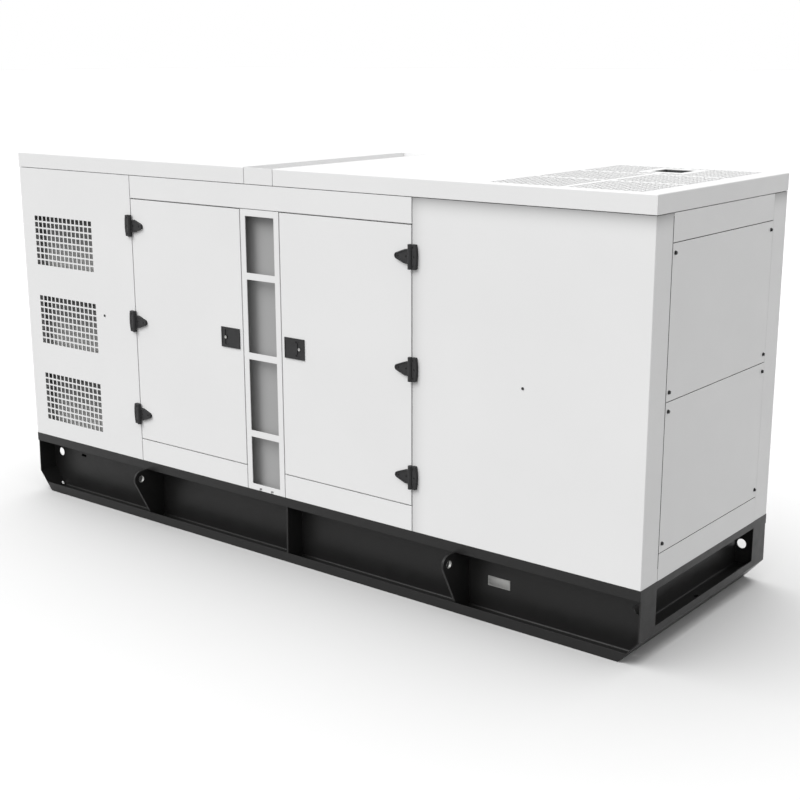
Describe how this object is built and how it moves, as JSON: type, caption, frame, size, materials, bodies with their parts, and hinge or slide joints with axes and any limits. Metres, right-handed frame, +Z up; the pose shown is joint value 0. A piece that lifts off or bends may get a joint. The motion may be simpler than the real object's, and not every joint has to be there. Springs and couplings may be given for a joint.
{
  "type": "sound-attenuated diesel generator set",
  "caption": "Enclosed diesel generator on a black skid base, with white folded panels, hinged service doors, punched air grilles, roof outlet and lifting lugs.",
  "frame": {"origin": "middle of the footprint on the floor", "axes": "+X along the set towards the radiator end, -Y the side with the hinged doors, +Z up"},
  "size_m": [4, 1.432, 1.975],
  "materials": {
    "canopy_white": "satin powder coat",
    "base_black": "satin powder coat",
    "hardware_black": "fine moulded grain",
    "acoustic_foam": "open cell foam",
    "engine_paint": "painted castings",
    "alternator_paint": "satin paint",
    "radiator_black": "black core paint",
    "exhaust_steel": "heat-dulled steel",
    "screw_black": "black zinc",
    "plate_aluminium": "bare brushed plate",
    "seal_rubber": "matt seal"
  },
  "bodies": {
    "root": {"frame_posts": "canopy_white", "frame_rails": "canopy_white", "inlet_baffles": "canopy_white", "inlet_panel_front": "canopy_white", "inlet_panel_back": "canopy_white", "header_front": "canopy_white", "header_back": "canopy_white", "sills_front": "canopy_white", "sills_back": "canopy_white", "middle_post_front": "canopy_white", "middle_post_back": "canopy_white", "plain_panel_front": "canopy_white", "plain_panel_back": "canopy_white", "end_strips_left": "canopy_white", "end_strips_right": "canopy_white", "access_panels_left": "canopy_white", "access_panel_upper": "canopy_white", "access_panel_lower": "canopy_white", "roof_left": "canopy_white", "roof_right": "canopy_white", "roof_gutter": "canopy_white", "back_doors": "canopy_white", "base_side_front": "base_black", "base_side_back": "base_black", "base_end_left": "base_black", "base_end_right": "base_black", "base_deck": "base_black", "fuel_tank": "base_black", "lifting_lugs_front": "base_black", "lifting_lugs_back": "base_black", "engine_rails": "base_black", "hinge_blocks_front": "hardware_black", "back_hinges": "hardware_black", "back_latches": "hardware_black", "engine": "engine_paint", "alternator": "alternator_paint", "radiator": "radiator_black", "exhaust_silencer": "exhaust_steel"},
    "left_door_body": {"left_door": "canopy_white", "left_door_pad": "acoustic_foam", "left_hinge_leaves": "hardware_black", "left_latch": "hardware_black"},
    "right_door_body": {"right_door": "canopy_white", "right_door_pad": "acoustic_foam", "right_hinge_leaves": "hardware_black", "right_latch": "hardware_black"}
  },
  "joints": [
    {"name": "left_door_hinge", "type": "hinge", "parent": "root", "child": "left_door_body", "pos_m": [-1.069, -0.638, 1.12], "axis": [0, 0, -1], "range_deg": [0, 120]},
    {"name": "right_door_hinge", "type": "hinge", "parent": "root", "child": "right_door_body", "pos_m": [0.801, -0.638, 1.12], "axis": [0, 0, 1], "range_deg": [0, 120]}
  ]
}
